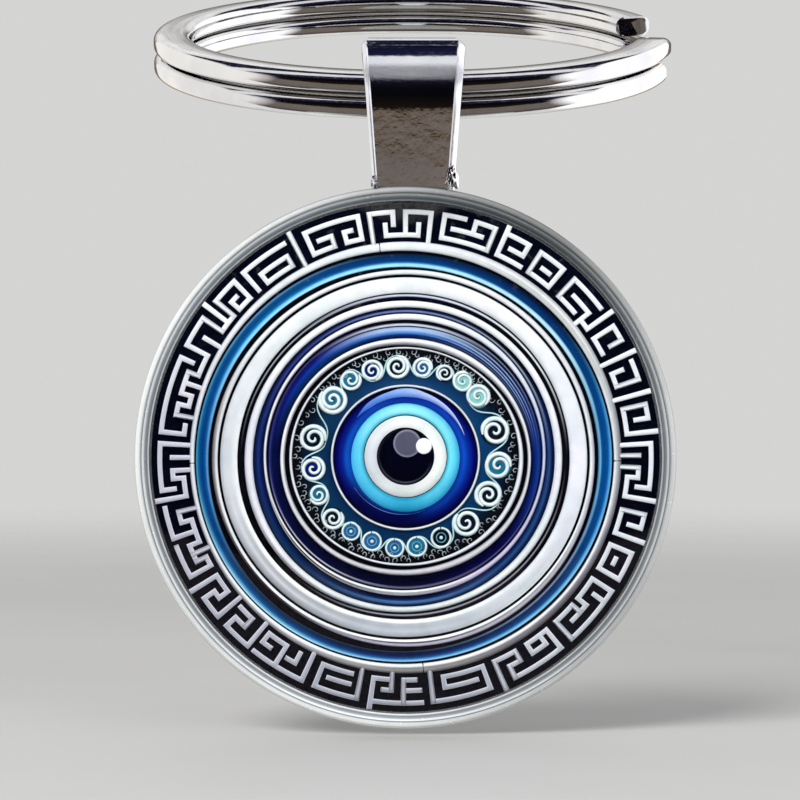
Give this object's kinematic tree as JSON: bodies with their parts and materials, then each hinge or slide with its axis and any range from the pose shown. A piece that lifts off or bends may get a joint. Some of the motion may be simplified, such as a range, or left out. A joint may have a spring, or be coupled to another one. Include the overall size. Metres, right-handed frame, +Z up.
{
  "type": "evil eye key ring pendant",
  "caption": "Round metal tray with a printed evil eye under a clear glass dome, on a folded strip bail that hangs from a split key ring.",
  "frame": {"origin": "the centre of the split key ring, at half its thickness", "axes": "+Z up with the pendant hanging plumb; +Y from the eye's face through to the flat back of the tray; the hinge at the bail runs along X"},
  "size_m": [0.028, 0.0304, 0.0404],
  "materials": {
    "ring_nickel": "polished nickel plate on steel wire",
    "bail_chrome": "mirror plate with a finely speckled panel",
    "solder": "plated over, lumpy and bright",
    "tray_nickel": "satin bright plate on zinc alloy",
    "backing_adhesive": "dry white glue",
    "print": "glossy printed art in navy, cobalt, turquoise, white and silver",
    "clear_adhesive": "clear and wet-looking",
    "clear_glass": "clear polished glass"
  },
  "bodies": {
    "key_ring": {"split_ring": "ring_nickel"},
    "pendant": {"bail": "bail_chrome", "bail_solder": "solder", "bezel_tray": "tray_nickel", "backing_adhesive": "backing_adhesive", "printed_insert": "print", "clear_adhesive": "clear_adhesive", "glass_cabochon": "clear_glass"}
  },
  "joints": [
    {"name": "pendant_swing", "type": "hinge", "parent": "key_ring", "child": "pendant", "pos_m": [0, -0.01247, -0.00367], "axis": [1, 0, 0], "range_deg": [-239, 92]}
  ]
}
